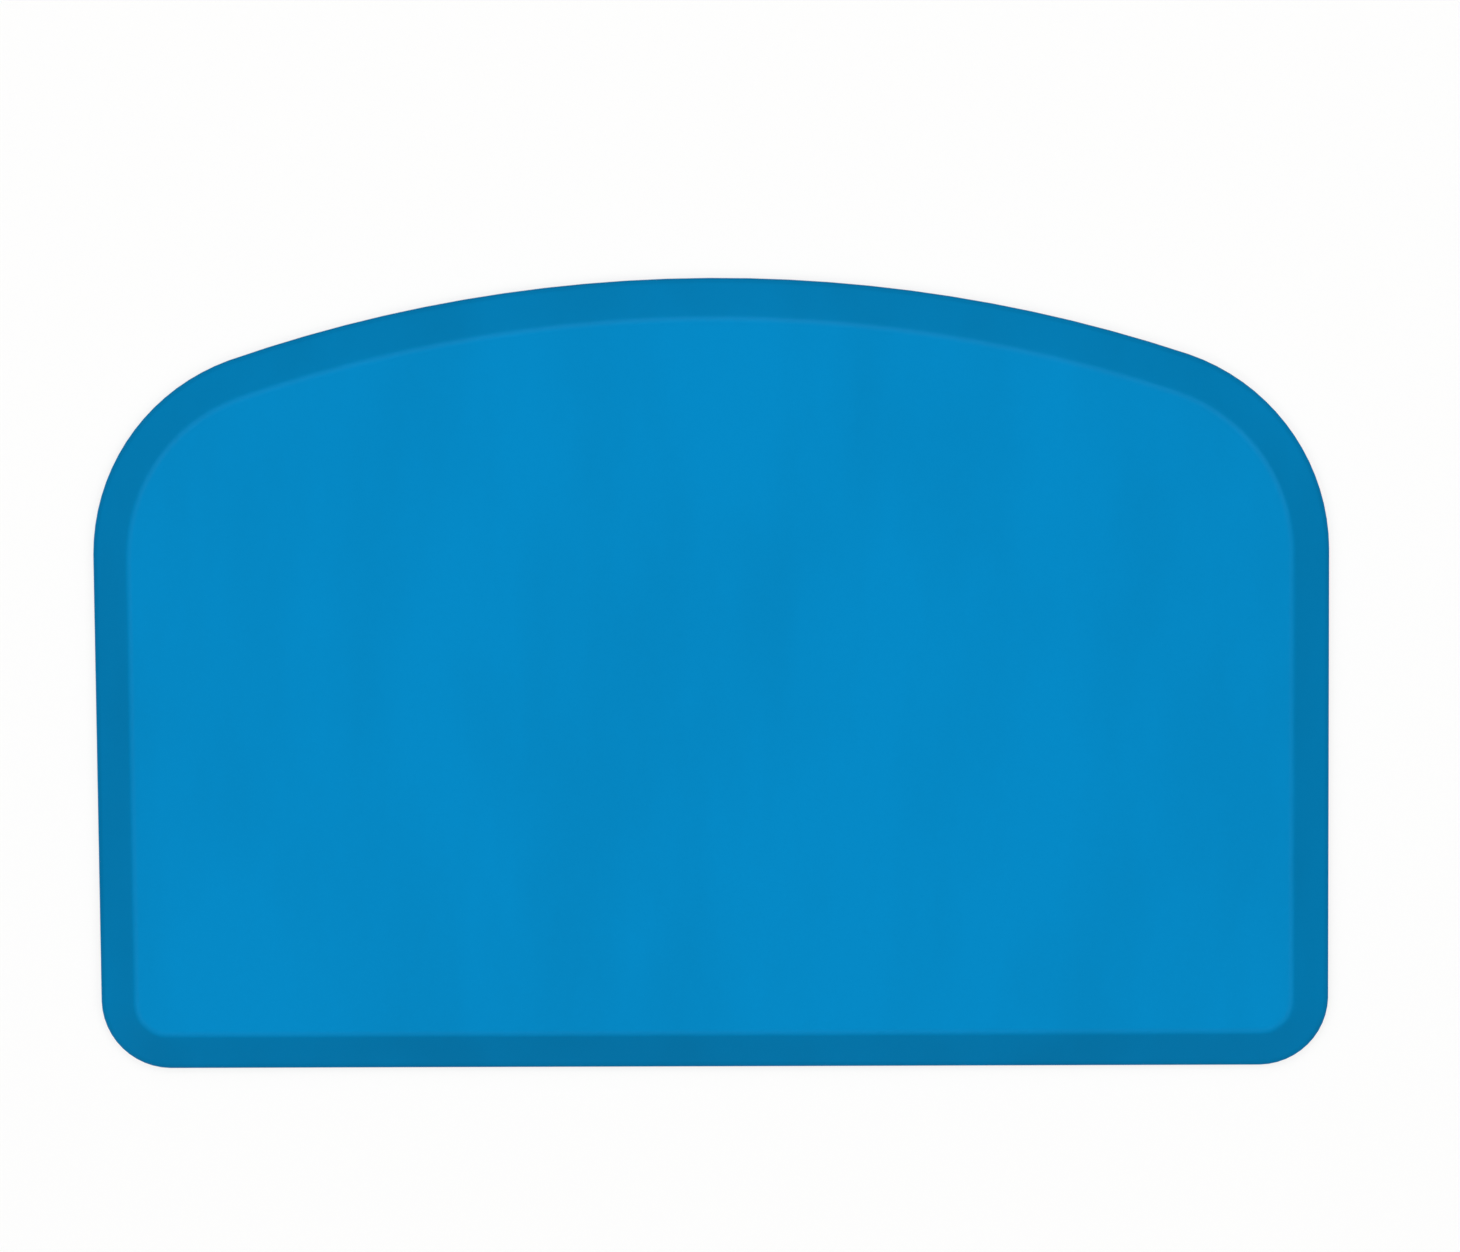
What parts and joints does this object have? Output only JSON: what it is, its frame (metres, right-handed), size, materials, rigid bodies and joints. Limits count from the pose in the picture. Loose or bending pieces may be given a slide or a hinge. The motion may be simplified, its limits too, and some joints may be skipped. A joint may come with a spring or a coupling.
{
  "type": "bowl scraper",
  "caption": "D-shaped silicone bowl scraper with a bevelled flexible lip all round, stiffened by a perforated stainless plate sealed inside.",
  "frame": {"origin": "middle of the flat back face, which the scraper lies on", "axes": "+X along the straight edge, +Y towards the crown, +Z out of the bevelled front face"},
  "size_m": [0.14, 0.09, 0.0043],
  "materials": {
    "blue_silicone": "matte moulded silicone, pigmented cyan blue all through",
    "stainless_sheet": "cold-rolled stainless sheet, stamped and tumbled",
    "blue_silicone_back": "matte moulded silicone from the second shot, same pigment as the front"
  },
  "bodies": {
    "root": {"front_moulding": "blue_silicone", "stiffener": "stainless_sheet", "rear_skin": "blue_silicone_back"}
  },
  "joints": []
}
